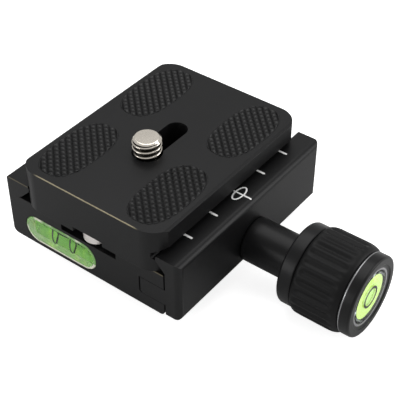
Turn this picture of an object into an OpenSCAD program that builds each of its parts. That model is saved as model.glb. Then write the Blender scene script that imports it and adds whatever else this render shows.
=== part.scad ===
// Dovetail quick release clamp with camera plate, in millimetres
// +Z is up, X runs across the dovetail with the clamping knob at +X, Y runs along the channel
// The origin is the mouth of the tripod thread in the middle of the underside

/* [Clamp body] */
// Length of the clamp and of its jaws along the channel
clamp_length = 50.7; // [40:0.1:80]
// Thickness of the fixed lip, from its inner to its outer side
fixed_lip = 6.55; // [5.4:0.05:8]
// How far the clamp body reaches beyond the dovetail foot on the jaw side
body_margin = 0.05; // [0:0.01:0.15]
// Height of the channel floor above the underside
floor_height = 11.35; // [10:0.05:13]
// Height of the upright land on the inner side of each lip
lip_land = 1.23; // [0.8:0.01:1.6]
// How far each lip reaches over the dovetail foot when clamped
lip_overlap = 1.9; // [1.3:0.05:2.1]
// Radius of the lower left long edge of the clamp body
base_edge_radius = 1.3; // [0.5:0.1:2]
// Width of the two shallow pockets that take the stop screws
relief_width = 15; // [9:0.1:18]
// Sideways offset of the two pockets from the middle
relief_offset = 1; // [0:0.05:1.5]
// Length of each stop screw pocket from the end of the clamp
relief_length = 13.5; // [8:0.1:16]

/* [Moving jaw] */
// Thickness of the moving jaw, from its lip to its outer side
jaw_width = 6; // [5.6:0.05:8]
// Height of the jaw underside above the clamp underside
jaw_lift = 0.65; // [0.3:0.05:1]
// Radius of the upright outer corners of the jaw
jaw_corner_radius = 1.5; // [1:0.1:3]
// Radius of the upper outer long edge of the jaw
jaw_edge_radius = 1.4; // [0.5:0.1:1.6]
// Thickness of the guide tongue on the jaw
tongue_thickness = 4.2; // [3:0.05:4.4]
// Height of the underside of the guide tongue
tongue_bottom = 3.3; // [2.8:0.05:3.5]
// Length of the guide tongue
tongue_length = 6.5; // [5:0.1:7]
// Gap between the jaw and the clamp body when clamped
jaw_gap = 0.35; // [0.3:0.05:0.6]
// Length of the window in the tongue round the clamping rod
rod_window = 9; // [8.5:0.1:14]
// Distance between neighbouring index marks
mark_spacing = 8.45; // [6:0.05:10]
// Depth of the engraved index marks
mark_depth = 0.15; // [0.1:0.01:0.3]

/* [Camera plate] */
// Length of the camera plate
plate_length = 49.8; // [40:0.1:80]
// Position of the middle of the plate along the channel
plate_offset = -1.5; // [-3:0.1:3]
// Width of the lower foot of the dovetail
foot_width = 38; // [31:0.05:45]
// How far each side of the upper slab stands back from the foot
slab_step = 0.25; // [0:0.05:0.5]
// Height of the upright side of the upper slab
slab_side = 4.5; // [3.8:0.05:6.5]
// Height of the upright side of the dovetail foot
foot_height = 1.05; // [0.8:0.05:1.4]
// Depth of the dovetail undercut on each side
undercut = 2.7; // [2:0.05:3]
// Height of the upright neck above the undercut
neck_land = 1.2; // [0.9:0.05:1.6]
// Rise of the underside of the upper slab from the neck to its side
slab_rise = 0.8; // [0.4:0.05:1.5]
// Radius of the upright corners of the plate
plate_corner_radius = 5.2; // [2:0.1:6]
// Width of the bevel on the two long upper edges
edge_bevel = 0.55; // [0.2:0.05:0.8]
// Width of the camera screw slot
slot_width = 5; // [4:0.05:6]
// Distance that the camera screw can travel in its slot
slot_travel = 9.8; // [4:0.1:12]
// Depth of the pocket for the screw head in the underside
head_pocket_depth = 3.8; // [3.4:0.05:4.4]
// Depth of the narrow groove in the underside
end_groove_depth = 1.1; // [0.6:0.05:1.6]

/* [Rubber pads] */
// Distance from the long sides of the plate to the pads
pad_side_margin = 1.6; // [0.8:0.05:3]
// Distance from the ends of the plate to the pads
pad_end_margin = 1.85; // [0.8:0.05:4]
// Distance between the left and the right pads
pad_side_gap = 13.5; // [9:0.1:18]
// Distance between the front and the back pads
pad_end_gap = 6.1; // [2:0.1:12]
// Height of the pads above the plate
pad_rise = 0.3; // [0.1:0.05:0.6]
// Depth of the pad pockets
pad_pocket = 0.6; // [0.4:0.05:1]

/* [Camera screw] */
// Outer diameter of the camera thread, a quarter of an inch
thread_diameter = 6.35; // [6.35:0.01:6.4]
// Pitch of the camera thread, twenty turns to the inch
thread_pitch = 1.27; // [1.25:0.01:1.29]
// Height of the tip of the camera screw above the plate
screw_height = 3.9; // [3.6:0.05:5.5]
// Play of the screw neck across its slot
neck_play = 0.3; // [0.2:0.05:0.5]
// Diameter of the screw head
head_diameter = 12.4; // [10:0.1:12.6]
// Thickness of the screw head
head_thickness = 1.9; // [1.6:0.05:2]
// How far the screw head stands out beyond the washer
washer_step = 0.7; // [0.3:0.05:1.5]
// Thickness of the washer
washer_thickness = 0.6; // [0.4:0.05:0.7]

/* [Stop screws] */
// Diameter of the stop screw heads
stop_diameter = 5.8; // [4:0.05:6.5]
// Diameter of the stop screw shanks
stop_shank = 2.9; // [2:0.05:3.4]
// Distance that the stop screws stand out below the plate
stop_reach = 2.1; // [1.6:0.05:2.6]
// Distance from each end of the plate to its stop screw head
stop_edge = 0.9; // [0.5:0.05:3]
// Sideways offset of the two stop screws from the middle
stop_offset = 0.8; // [0:0.05:1.5]
// Room between the stop screws and the bottom of their pockets
stop_clearance = 0.75; // [0.4:0.05:1]
// Room on each side of the stop screw heads in their groove
stop_play = 0.3; // [0.1:0.05:1]

/* [Clamping knob] */
// Height of the knob axis above the clamp underside
knob_height = 5.2; // [5:0.05:5.5]
// Diameter of the neck between jaw and knob
neck_diameter = 10.2; // [7:0.1:11]
// Distance from the jaw to the back of the knob
neck_length = 11.9; // [8:0.1:18]
// Thickness of the ring at the back of the knob
back_ring = 3.4; // [2:0.1:4]
// How far the ring at the back of the knob lies below the grip
back_ring_step = 0.65; // [0.2:0.05:1]
// Length of the rubber grip
grip_length = 11.1; // [9:0.1:18]
// Largest diameter of the rubber grip
grip_diameter = 19.7; // [19:0.1:22]
// Number of grooves round the grip
grip_grooves = 28; // [20:1:36]
// Depth of the grip grooves
groove_depth = 0.35; // [0.2:0.05:0.6]
// Thickness of the rubber of the grip
grip_wall = 1.65; // [1.4:0.05:2]
// Thickness of the ring at the front of the knob
front_ring = 2.6; // [2.2:0.1:4]
// How far the ring at the front of the knob lies below the grip
front_ring_step = 0.75; // [0.2:0.05:1.1]
// Width of the metal between the grip and the window of the round level
window_frame = 2.4; // [1.6:0.05:3.5]

/* [Clamping rod] */
// Diameter of the clamping rod
rod_diameter = 4.9; // [4.9:0.05:5]
// Distance between the tripod bushing and the tip of the rod
rod_gap = 2.04; // [1.5:0.01:4]
// Outer diameter of the retaining clip
clip_diameter = 7.2; // [6.4:0.1:7.4]
// Thickness of the retaining clip
clip_thickness = 0.75; // [0.6:0.05:0.8]

/* [Tripod thread] */
// Outer diameter of the reducer bushing, three eighths of an inch
bushing_diameter = 9.52; // [9.5:0.01:9.6]
// Length of the reducer bushing
bushing_length = 6; // [5:0.1:6.4]
// Wall diameter of the thread inside the bushing
bushing_bore = 5.2; // [5.1:0.05:5.3]

/* [Levels] */
// Length of the window of the tube level
level_length = 20.1; // [16:0.1:20.4]
// Thickness of the clamp body below the window of the tube level
level_foot = 0.8; // [0.4:0.05:1]
// Thickness of the clamp body between the tube level and the stop screw pocket
level_cover = 0.8; // [0.5:0.05:1.2]
// Distance from the outer side of the fixed lip to the middle of the tube level
level_inset = 14.35; // [12.5:0.05:15]
// Thickness of the level block behind and before its tube
level_wall = 0.55; // [0.45:0.05:1]
// Thickness of the level block at the ends of its tube
vial_end = 2.45; // [1.6:0.05:3]
// Diameter of the tube inside the level block
vial_diameter = 4.3; // [3:0.1:5.2]
// Distance between the two rings on the tube
ring_spacing = 5; // [4:0.1:7]
// Length of the round level behind the knob window
bullseye_depth = 5.2; // [4:0.1:6]
// Thickness of the clear front of the round level
lens_wall = 0.6; // [0.4:0.05:1]
// Depth of the liquid in the round level
liquid_depth = 2.2; // [0.8:0.01:2.6]

/* [Hidden] */
half_length = clamp_length / 2;
fit = 0.05;
plate_bottom = floor_height + 0.1;
foot_top = plate_bottom + foot_height;
foot_half = foot_width / 2;
neck_half = foot_half - undercut;
neck_level = foot_top + undercut;
slab_half = foot_half - slab_step;
slab_width = 2 * slab_half;
slab_bottom = neck_level + neck_land + slab_rise;
plate_top = slab_bottom + slab_side;
bevel_drop = edge_bevel * 0.72;
lip_reach = foot_half - lip_overlap;
contact = foot_half + foot_top + 0.07;
nose_low = contact - lip_reach;
lip_height = nose_low + lip_land;
base_left = lip_reach + fixed_lip;
base_right = foot_half + body_margin;
jaw_outer = lip_reach + jaw_width;
relief_depth = stop_reach - 0.1 + stop_clearance;
pad_width = slab_half - pad_side_margin - pad_side_gap / 2;
pad_length = plate_length / 2 - pad_end_margin - pad_end_gap / 2;
pad_side = (pad_side_gap + pad_width) / 2;
pad_along = (pad_end_gap + pad_length) / 2;
screw_neck = slot_width - neck_play;
washer_diameter = head_diameter - 2 * washer_step;
end_groove_width = stop_diameter + 2 * (stop_offset + stop_play);
knob_start = jaw_outer + neck_length;
back_ring_diameter = grip_diameter - 2 * back_ring_step;
front_ring_diameter = grip_diameter - 2 * front_ring_step;
face_radius = front_ring_diameter / 2 - 1.9;
rod_tip = bushing_diameter / 2 + rod_gap;
jaw_inner = base_right + jaw_gap;
tongue_tip = jaw_inner - tongue_length;
slot_floor = tongue_tip - jaw_gap;
slot_bottom = tongue_bottom - 0.1;
slot_top = tongue_bottom + tongue_thickness + fit;
apex_out = contact - floor_height - 0.1;
head_radius = head_diameter / 2;
pocket_radius = head_radius + 0.45;
slot_mid = plate_offset - 0.15;
screw_y = slot_mid - slot_travel / 2;
thread_bottom = plate_top + 0.1;
web_bottom = plate_bottom + head_pocket_depth;
rod_radius = rod_diameter / 2;
clip_start = jaw_inner + 0.3;
grip_start = knob_start + back_ring;
grip_end = grip_start + grip_length;
knob_end = grip_end + 0.15 + front_ring;
hub_radius = grip_diameter / 2 - grip_wall;
window_radius = hub_radius - window_frame;
bullseye_front = knob_end - 0.3;
bullseye_back = bullseye_front - bullseye_depth;
liquid_front = bullseye_front - lens_wall - 0.03;
liquid_back = liquid_front - liquid_depth;
vial_radius = vial_diameter / 2;
vial_half = level_length / 2 - vial_end;
plug_length = vial_end * 0.57;
level_height = floor_height - relief_depth - level_cover - level_foot;
level_round = level_height / 2;
level_middle = level_foot + level_round;
level_side = level_inset - base_left;
level_depth = vial_diameter + 2 * level_wall;
level_front = -half_length;
vial_y = level_front + level_depth / 2 + 0.2;
stop_y = plate_length / 2 - stop_edge - stop_diameter / 2;
stop_hold = 3.8;

$fn = 96;

// Cuts one corner of a flat shape to a radius, sx and sy point into the material
module corner_cut(x, y, r, sx, sy) {
  translate([x + sx * r, y + sy * r])
    difference() {
      translate([sx > 0 ? -r - 0.3 : 0, sy > 0 ? -r - 0.3 : 0])
        square(r + 0.3);
      circle(r = r);
    }
}

// Extrudes an X and Z profile along the channel
module along_channel(y_from, y_to) {
  translate([0, y_to, 0])
    rotate([90, 0, 0])
      linear_extrude(height = y_to - y_from)
        children();
}

// Turns a profile of radius and X position round the knob axis
module turned() {
  translate([0, 0, knob_height])
    rotate([0, 90, 0])
      rotate_extrude()
        children();
}

// Round bar along the knob axis
module bar(r, x_from, x_to) {
  translate([x_from, 0, knob_height])
    rotate([0, 90, 0])
      cylinder(r = r, h = x_to - x_from);
}

// Flat long hole shape along Y
module long_hole(r, travel) {
  translate([-r, -travel / 2])
    square([2 * r, travel]);
  translate([0, -travel / 2])
    circle(r = r);
  translate([0, travel / 2])
    circle(r = r);
}

// Flat long shape of the level window along X
module level_shape(grow) {
  r = level_round + grow;
  travel = level_length - level_height;
  translate([level_side - travel / 2, level_middle - r])
    square([travel, 2 * r]);
  translate([level_side - travel / 2, level_middle])
    circle(r = r);
  translate([level_side + travel / 2, level_middle])
    circle(r = r);
}

// Flat oval of a rubber pad, fuller than an ellipse
module pad_shape(grow) {
  a = pad_width / 2 + grow;
  b = pad_length / 2 + grow;
  polygon([
    for (i = [0:55])
      let (c = cos(i * 360 / 56), s = sin(i * 360 / 56))
        [a * sign(c) * pow(abs(c), 0.76), b * sign(s) * pow(abs(s), 0.76)]
  ]);
}

// Flat ellipse of the centre mark on the jaw
module mark_oval(grow) {
  polygon([
    for (i = [0:31])
      [(1.1 + grow) * cos(i * 360 / 32), (2.35 + grow) * sin(i * 360 / 32)]
  ]);
}

module base_profile() {
  difference() {
    polygon([
      [-base_left, 0],
      [base_right, 0],
      [base_right, slot_bottom],
      [slot_floor + 0.45, slot_bottom],
      [slot_floor, slot_bottom + 0.45],
      [slot_floor, slot_top],
      [base_right, slot_top],
      [base_right, floor_height - 0.2],
      [base_right - 0.2, floor_height],
      [-apex_out - 0.45, floor_height],
      [-apex_out + 0.3, floor_height + 0.4],
      [-lip_reach, nose_low],
      [-lip_reach, lip_height - 0.35],
      [-lip_reach - 0.35, lip_height],
      [-base_left + 0.2, lip_height],
      [-base_left, lip_height - 0.2]
    ]);
    corner_cut(-base_left, 0, base_edge_radius, 1, 1);
    corner_cut(base_right, 0, base_edge_radius * 0.8, -1, 1);
  }
}

module clamp_base() {
  color([0.045, 0.045, 0.05])
    difference() {
      along_channel(-half_length, half_length)
        base_profile();
      // pockets that let the stop screws pass, with a land between them
      translate([-relief_width / 2 - relief_offset, -half_length - 1, floor_height - relief_depth])
        cube([relief_width, relief_length + 1, relief_depth + 1]);
      translate([-relief_width / 2 + relief_offset, half_length - relief_length, floor_height - relief_depth])
        cube([relief_width, relief_length + 1, relief_depth + 1]);
      // window for the tube level
      along_channel(level_front - 1, level_front + level_depth + 0.6)
        level_shape(fit);
      // thread for the clamping rod
      bar(rod_radius + fit, rod_tip - 0.5, base_right + 1);
      // hole for the reducer bushing
      translate([0, 0, -1])
        cylinder(r = bushing_diameter / 2 + 0.03, h = bushing_length + 1.4);
    }
}

module tripod_bushing() {
  color([0.72, 0.7, 0.66])
    difference() {
      cylinder(d = bushing_diameter, h = bushing_length);
      translate([0, 0, -1])
        cylinder(d = bushing_bore, h = bushing_length + 2);
      // driver slot
      translate([-bushing_diameter, -0.6, -1])
        cube([2 * bushing_diameter, 1.2, 1.9]);
    }
}

module level_body() {
  color([0.86, 0.95, 0.85, 0.35])
    difference() {
      along_channel(level_front, level_front + level_depth)
        level_shape(0);
      translate([level_side - vial_half, vial_y, level_middle])
        rotate([0, 90, 0])
          cylinder(r = vial_radius, h = level_length);
      for (s = [-1, 1])
        translate([level_side + s * ring_spacing / 2 - 0.2, vial_y, level_middle])
          rotate([0, 90, 0])
            cylinder(r = vial_radius + 0.25, h = 0.4);
    }
}

module level_plug() {
  color([0.86, 0.95, 0.85, 0.35])
    translate([level_side + vial_half, vial_y, level_middle])
      rotate([0, 90, 0])
        cylinder(r = vial_radius - 0.03, h = plug_length);
}

module level_fluid() {
  color([0.62, 0.9, 0.25, 0.6])
    difference() {
      translate([level_side - vial_half + fit, vial_y, level_middle])
        rotate([0, 90, 0])
          cylinder(r = vial_radius - 0.03, h = 2 * (vial_half - fit));
      // air bubble at the top of the tube
      translate([level_side - 1.5, vial_y, level_middle + vial_radius - 0.5])
        rotate([0, 90, 0])
          cylinder(r = 1, h = 3);
    }
}

module level_rings() {
  color([0.05, 0.05, 0.05])
    for (s = [-1, 1])
      translate([level_side + s * ring_spacing / 2 - 0.17, vial_y, level_middle])
        rotate([0, 90, 0])
          difference() {
            cylinder(r = vial_radius + 0.22, h = 0.34);
            translate([0, 0, -1])
              cylinder(r = vial_radius, h = 3);
          }
}

module level_backing() {
  color([0.8, 0.9, 0.55])
    along_channel(level_front + level_depth + 0.03, level_front + level_depth + 0.55)
      level_shape(0);
}

module jaw_profile() {
  difference() {
    polygon([
      [tongue_tip, tongue_bottom + 0.45],
      [tongue_tip + 0.45, tongue_bottom],
      [jaw_inner, tongue_bottom],
      [jaw_inner, jaw_lift],
      [jaw_outer, jaw_lift],
      [jaw_outer, lip_height],
      [lip_reach + 0.35, lip_height],
      [lip_reach, lip_height - 0.35],
      [lip_reach, nose_low],
      [jaw_inner, contact - jaw_inner],
      [jaw_inner, tongue_bottom + tongue_thickness],
      [tongue_tip, tongue_bottom + tongue_thickness]
    ]);
    corner_cut(jaw_outer, jaw_lift, 1, -1, 1);
    corner_cut(jaw_outer, lip_height, jaw_edge_radius, -1, -1);
  }
}

module movable_jaw() {
  color([0.045, 0.045, 0.05])
    difference() {
      along_channel(-half_length, half_length)
        jaw_profile();
      for (s = [-1, 1])
        translate([0, 0, -1])
          linear_extrude(height = lip_height + 2)
            corner_cut(jaw_outer, s * half_length, jaw_corner_radius, -1, -s);
      // window round the rod
      translate([tongue_tip - 1, -rod_window / 2, tongue_bottom - 1])
        cube([tongue_length + 1, rod_window, tongue_thickness + 2]);
      // running bore for the rod and recess for its clip
      bar(rod_radius + fit, jaw_inner - 1, jaw_outer + 1);
      bar(clip_diameter / 2 + 0.25, jaw_inner - 1, clip_start + clip_thickness + 0.15);
      // engraved index marks
      for (i = [-2, -1, 1, 2])
        translate([lip_reach + 0.3, i * mark_spacing - 0.21, lip_height - mark_depth])
          cube([2.45, 0.42, 1]);
      translate([lip_reach + 0.3, -0.15, lip_height - mark_depth])
        cube([jaw_width - 1.1, 0.3, 1]);
      translate([lip_reach + 2.15, 0, lip_height - mark_depth])
        linear_extrude(height = 1)
          difference() {
            mark_oval(0);
            mark_oval(-0.3);
          }
    }
}

module knob_core() {
  r = back_ring_diameter / 2;
  n = neck_diameter / 2;
  color([0.05, 0.05, 0.055])
    difference() {
      turned()
        polygon([
          [0, jaw_outer + 0.1],
          [n - 0.3, jaw_outer + 0.1],
          [n, jaw_outer + 0.4],
          [n, knob_start - 0.3],
          [n + 0.3, knob_start],
          [r - 0.6, knob_start],
          [r - 0.18, knob_start + 0.18],
          [r, knob_start + 0.6],
          [r, grip_start - 0.25],
          [r - 0.25, grip_start],
          [hub_radius, grip_start],
          [hub_radius, grip_end],
          [0, grip_end]
        ]);
      // bore for the rod
      bar(rod_radius + 0.02, jaw_outer - 1, knob_start - 1.5);
      // seat of the front ring and of the round level
      bar(hub_radius - 0.95, grip_end - 1.5, grip_end + 1);
      bar(window_radius + 0.02, bullseye_back - 0.1, grip_end + 1);
    }
}

module clamp_rod() {
  color([0.6, 0.6, 0.62])
    difference() {
      turned()
        polygon([
          [0, rod_tip],
          [rod_radius - 0.5, rod_tip],
          [rod_radius, rod_tip + 0.5],
          [rod_radius, knob_start - 1.6],
          [0, knob_start - 1.6]
        ]);
      // groove for the clip
      difference() {
        bar(rod_radius + 1, clip_start - 0.05, clip_start + clip_thickness + 0.05);
        bar(rod_radius - 0.4, clip_start - 1, clip_start + clip_thickness + 1);
      }
    }
}

module retaining_clip() {
  color([0.35, 0.35, 0.37])
    difference() {
      bar(clip_diameter / 2, clip_start, clip_start + clip_thickness);
      bar(rod_radius - 0.35, clip_start - 1, clip_start + clip_thickness + 1);
      translate([clip_start - 1, -1.5, knob_height - clip_diameter])
        cube([clip_thickness + 2, 3, clip_diameter]);
    }
}

module knob_grip() {
  r = grip_diameter / 2;
  cut = 1;
  color([0.04, 0.04, 0.042])
    difference() {
      turned()
        polygon([
          [hub_radius + fit, grip_start + 0.05],
          [r - 0.75, grip_start + 0.05],
          [r - 0.3, grip_start + 0.45],
          [r - 0.08, grip_start + 1],
          [r, grip_start + 1.8],
          [r, grip_end - 2.9],
          [r - 0.06, grip_end - 1.9],
          [r - 0.22, grip_end - 1.1],
          [r - 0.5, grip_end - 0.45],
          [r - 0.85, grip_end - 0.05],
          [hub_radius + fit, grip_end - 0.05]
        ]);
      for (i = [0:grip_grooves - 1])
        translate([0, 0, knob_height])
          rotate([i * 360 / grip_grooves, 0, 0])
            translate([grip_start + 1.1, 0, r + cut - groove_depth])
              rotate([0, 90, 0])
                cylinder(r = cut, h = grip_length - 2.9, $fn = 24);
    }
}

module knob_cap() {
  r = front_ring_diameter / 2;
  color([0.05, 0.05, 0.055])
    turned()
      polygon([
        [window_radius + 0.02, grip_end - 1.4],
        [hub_radius - 1, grip_end - 1.4],
        [hub_radius - 1, grip_end + 0.05],
        [r - 0.2, grip_end + 0.05],
        [r, grip_end + 0.25],
        [r, knob_end - 0.5],
        [r - 0.12, knob_end - 0.18],
        [r - 0.45, knob_end],
        [face_radius + 0.2, knob_end],
        [face_radius + 0.05, knob_end - 0.2],
        [window_radius + 0.02, knob_end - 0.4]
      ]);
}

module bullseye_lens() {
  color([0.85, 0.95, 0.9, 0.35])
    difference() {
      bar(window_radius - 0.03, bullseye_back, bullseye_front);
      bar(window_radius - 0.7, bullseye_back - 1, bullseye_front - lens_wall);
    }
}

module bullseye_fluid() {
  color([0.75, 0.95, 0.3, 0.5])
    difference() {
      bar(window_radius - 0.73, liquid_back, liquid_front);
      // air bubble at the top of the chamber
      translate([liquid_front - 0.77, 0, knob_height + window_radius - 2])
        rotate([0, 90, 0])
          cylinder(r = 1.1, h = 2);
    }
}

module bullseye_backing() {
  color([0.75, 0.92, 0.3])
    bar(window_radius - 0.73, bullseye_back + fit, liquid_back - 0.03);
}

module plate_profile() {
  polygon([
    [-foot_half + 0.25, plate_bottom],
    [foot_half - 0.25, plate_bottom],
    [foot_half, plate_bottom + 0.25],
    [foot_half, foot_top],
    [neck_half, neck_level],
    [neck_half, neck_level + neck_land],
    [slab_half, slab_bottom],
    [slab_half, plate_top - bevel_drop],
    [slab_half - edge_bevel, plate_top],
    [-slab_half + edge_bevel, plate_top],
    [-slab_half, plate_top - bevel_drop],
    [-slab_half, slab_bottom],
    [-neck_half, neck_level + neck_land],
    [-neck_half, neck_level],
    [-foot_half, foot_top],
    [-foot_half, plate_bottom + 0.25]
  ]);
}

module camera_plate() {
  color([0.05, 0.05, 0.055])
    translate([0, plate_offset, 0])
      difference() {
        along_channel(-plate_length / 2, plate_length / 2)
          plate_profile();
        for (sx = [-1, 1])
          for (sy = [-1, 1])
            translate([0, 0, plate_bottom - 1])
              linear_extrude(height = plate_top - plate_bottom + 2)
                corner_cut(sx * (foot_half + 0.01), sy * plate_length / 2, plate_corner_radius, -sx, -sy);
        // slot for the neck of the camera screw
        translate([0, slot_mid - plate_offset, plate_bottom - 1])
          linear_extrude(height = plate_top - plate_bottom + 2)
            long_hole(slot_width / 2, slot_travel);
        // wider hole at the front end of the slot, where the thread goes in
        translate([0, screw_y - plate_offset, plate_bottom - 1])
          cylinder(d = thread_diameter + 0.3, h = plate_top - plate_bottom + 2);
        // pocket for the screw head
        translate([0, slot_mid - plate_offset, plate_bottom - 1])
          linear_extrude(height = head_pocket_depth + 1)
            long_hole(pocket_radius, slot_travel);
        // narrow groove along the underside
        translate([-end_groove_width / 2, -plate_length, plate_bottom - 1])
          cube([end_groove_width, 2 * plate_length, end_groove_depth + 1]);
        // holes for the stop screws
        for (s = [-1, 1])
          translate([s * stop_offset, s * stop_y, plate_bottom - 1])
            cylinder(d = stop_shank + 0.04, h = stop_hold + 1.2);
        // pockets for the rubber pads
        for (sx = [-1, 1])
          for (sy = [-1, 1])
            translate([sx * pad_side, sy * pad_along, plate_top - pad_pocket])
              linear_extrude(height = pad_pocket + 1)
                pad_shape(fit);
      }
}

module pad(sx, sy) {
  color([0.03, 0.03, 0.03])
    translate([sx * pad_side, plate_offset + sy * pad_along, plate_top - pad_pocket + 0.02])
      linear_extrude(height = pad_pocket + pad_rise - 0.02)
        pad_shape(0);
}

module stop_screws() {
  color([0.78, 0.78, 0.76])
    for (s = [-1, 1])
      translate([s * stop_offset, plate_offset + s * stop_y, plate_bottom - stop_reach])
        difference() {
          union() {
            cylinder(d = stop_diameter, h = stop_reach + end_groove_depth - 0.02);
            cylinder(d = stop_shank, h = stop_reach + stop_hold);
          }
          // hexagon socket
          translate([0, 0, -1])
            cylinder(d = stop_shank * 0.85, h = 2.2, $fn = 6);
        }
}

module screw_washer() {
  color([0.6, 0.6, 0.6])
    translate([0, screw_y, web_bottom - washer_thickness - fit])
      difference() {
        cylinder(d = washer_diameter, h = washer_thickness);
        translate([0, 0, -1])
          cylinder(d = screw_neck + 0.2, h = washer_thickness + 2);
      }
}

module camera_screw() {
  head_top = web_bottom - washer_thickness - 2 * fit;
  tip = plate_top + screw_height;
  t = thread_diameter / 2;
  n = screw_neck / 2;
  root = t - 0.62;
  color([0.8, 0.78, 0.74])
    translate([0, screw_y, 0])
      difference() {
        rotate_extrude()
          polygon(concat(
            [
              [0, head_top - head_thickness],
              [head_radius - 0.3, head_top - head_thickness],
              [head_radius, head_top - head_thickness + 0.3],
              [head_radius, head_top],
              [n, head_top],
              [n, thread_bottom]
            ],
            [
              for (i = [0:floor((tip - 0.9 - thread_bottom) / thread_pitch)])
                for (p = [[root, 0.016], [t, 0.315], [t, 0.615], [root, 0.914]])
                  if (thread_bottom + (i + p[1]) * thread_pitch < tip - 0.95)
                    [p[0], thread_bottom + (i + p[1]) * thread_pitch]
            ],
            [
              [t, tip - 0.75],
              [t, tip - 0.35],
              [t - 0.45, tip],
              [0, tip]
            ]
          ));
        // coin slot in the head
        translate([-head_diameter, -0.65, head_top - head_thickness - 1])
          cube([2 * head_diameter, 1.3, 2.1]);
      }
}

clamp_base();
tripod_bushing();
level_body();
level_plug();
level_fluid();
level_rings();
level_backing();
movable_jaw();
knob_core();
clamp_rod();
retaining_clip();
knob_grip();
knob_cap();
bullseye_lens();
bullseye_fluid();
bullseye_backing();
camera_plate();
pad(-1, -1);  // pad_front_left
pad(1, -1);  // pad_front_right
pad(-1, 1);  // pad_back_left
pad(1, 1);  // pad_back_right
stop_screws();
screw_washer();
camera_screw();
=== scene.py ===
"""Dovetail quick release clamp with camera plate, dressed over its measured frame."""
import math

import bmesh
import bpy
from bpy.props import FloatProperty, FloatVectorProperty, IntProperty, PointerProperty
from mathutils import Matrix, Vector


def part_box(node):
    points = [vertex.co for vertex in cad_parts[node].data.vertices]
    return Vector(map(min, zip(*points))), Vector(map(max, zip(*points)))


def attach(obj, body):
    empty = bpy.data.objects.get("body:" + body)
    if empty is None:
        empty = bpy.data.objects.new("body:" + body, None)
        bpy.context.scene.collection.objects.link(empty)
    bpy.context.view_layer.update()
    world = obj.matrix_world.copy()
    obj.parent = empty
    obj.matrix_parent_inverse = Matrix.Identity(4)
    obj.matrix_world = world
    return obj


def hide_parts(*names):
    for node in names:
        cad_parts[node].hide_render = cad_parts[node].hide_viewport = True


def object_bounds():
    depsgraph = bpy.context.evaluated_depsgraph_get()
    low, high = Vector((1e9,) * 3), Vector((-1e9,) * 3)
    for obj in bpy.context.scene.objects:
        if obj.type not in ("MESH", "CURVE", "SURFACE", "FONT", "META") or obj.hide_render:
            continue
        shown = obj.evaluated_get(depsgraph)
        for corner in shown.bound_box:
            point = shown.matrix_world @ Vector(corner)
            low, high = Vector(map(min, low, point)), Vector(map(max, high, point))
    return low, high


bl_info = {
    "name": "Dovetail Quick Release Clamp",
    "version": (1, 0, 0),
    "blender": (4, 5, 0),
    "location": "3D View > Sidebar > Clamp",
    "description": "Dresses a dovetail camera clamp with its finishes, rubber, thread, levels and studio",
    "category": "Object",
}

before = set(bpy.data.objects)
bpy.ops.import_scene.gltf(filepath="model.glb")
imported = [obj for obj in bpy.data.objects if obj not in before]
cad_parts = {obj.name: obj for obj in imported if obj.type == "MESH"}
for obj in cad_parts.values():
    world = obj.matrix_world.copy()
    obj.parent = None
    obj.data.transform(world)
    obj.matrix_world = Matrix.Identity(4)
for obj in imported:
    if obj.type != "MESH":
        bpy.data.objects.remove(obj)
frame_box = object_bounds()

MM = 0.001

plate_low, plate_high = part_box("camera_plate")
base_low, base_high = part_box("clamp_base")
jaw_low, jaw_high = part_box("movable_jaw")
grip_low, grip_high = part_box("knob_grip")
cap_low, cap_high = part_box("knob_cap")
screw_low, screw_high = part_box("camera_screw")
lens_low, lens_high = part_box("bullseye_lens")
rod_low, rod_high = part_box("clamp_rod")
level_low, level_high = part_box("level_body")

KNOB_AXIS = (rod_low.z + rod_high.z) / 2
SCREW_X = (screw_low.x + screw_high.x) / 2
SCREW_Y = (screw_low.y + screw_high.y) / 2
CHANNEL_FLOOR = plate_low.z - 0.1 * MM
JAW_LIP_WIDTH = 6 * MM
JAW_EDGE_RADIUS = 1.4 * MM
MARK_START = 0.4 * MM
MARK_LENGTH = 2.36 * MM
MARK_WIDTH = 0.54 * MM
CENTRE_LINE_WIDTH = 0.38 * MM
CENTRE_LINE_END = 5.15 * MM
OVAL_PLACE = 2.15 * MM
OVAL_OUTSIDE = (1.16 * MM, 2.42 * MM)
OVAL_INSIDE = (0.8 * MM, 2.04 * MM)
THREAD_DEPTH = 0.62 * MM
SEAM = 0.002 * MM
PAD_NODES = ("pad_front_left", "pad_front_right", "pad_back_left", "pad_back_right")


def colour_property(name, description, default):
    return FloatVectorProperty(name=name, description=description, subtype="COLOR", size=3, min=0, max=1,
                               default=default)


def length_property(name, description, low, high, default):
    """Length that the sidebar shows in the scene's unit. The numbers are millimetres."""
    return FloatProperty(name=name, description=description, subtype="DISTANCE", unit="LENGTH",
                         min=low * MM, max=high * MM, default=default * MM)


def power_property(name, description, default):
    return FloatProperty(name=name, description=description, subtype="POWER", min=0, max=50, default=default)


class ClampFinish(bpy.types.PropertyGroup):
    """Colours of the clamp's finishes"""

    anodised: colour_property(
        "Anodised Black", "Colour of the blasted and anodised aluminium", (0.0058, 0.0058, 0.0061))
    # bare metal of worn edges, also the colour of the painted highlight on the channel floor's edge
    bare_edge_and_highlight: colour_property(
        "Bare Edge", "Colour of the metal where an edge has lost its finish", (0.3, 0.26, 0.17))
    nickel: colour_property(
        "Nickel", "Colour of the plated camera screw", (0.84, 0.78, 0.69))
    rubber: colour_property(
        "Rubber", "Colour of the pads and of the knob grip", (0.0042, 0.0042, 0.0044))
    mark: colour_property(
        "Index Marks", "Colour of the filled index marks", (0.92, 0.92, 0.91))
    level: colour_property(
        "Tube Level", "Colour of the liquid in the tube level", (0.29, 0.47, 0.2))
    bullseye: colour_property(
        "Round Level", "Colour behind the round level in the knob", (0.64, 0.84, 0.11))
    edge_ease: length_property(
        "Eased Edge", "Width of the broken edges of the machined parts", 0.02, 0.4, 0.13)


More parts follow.
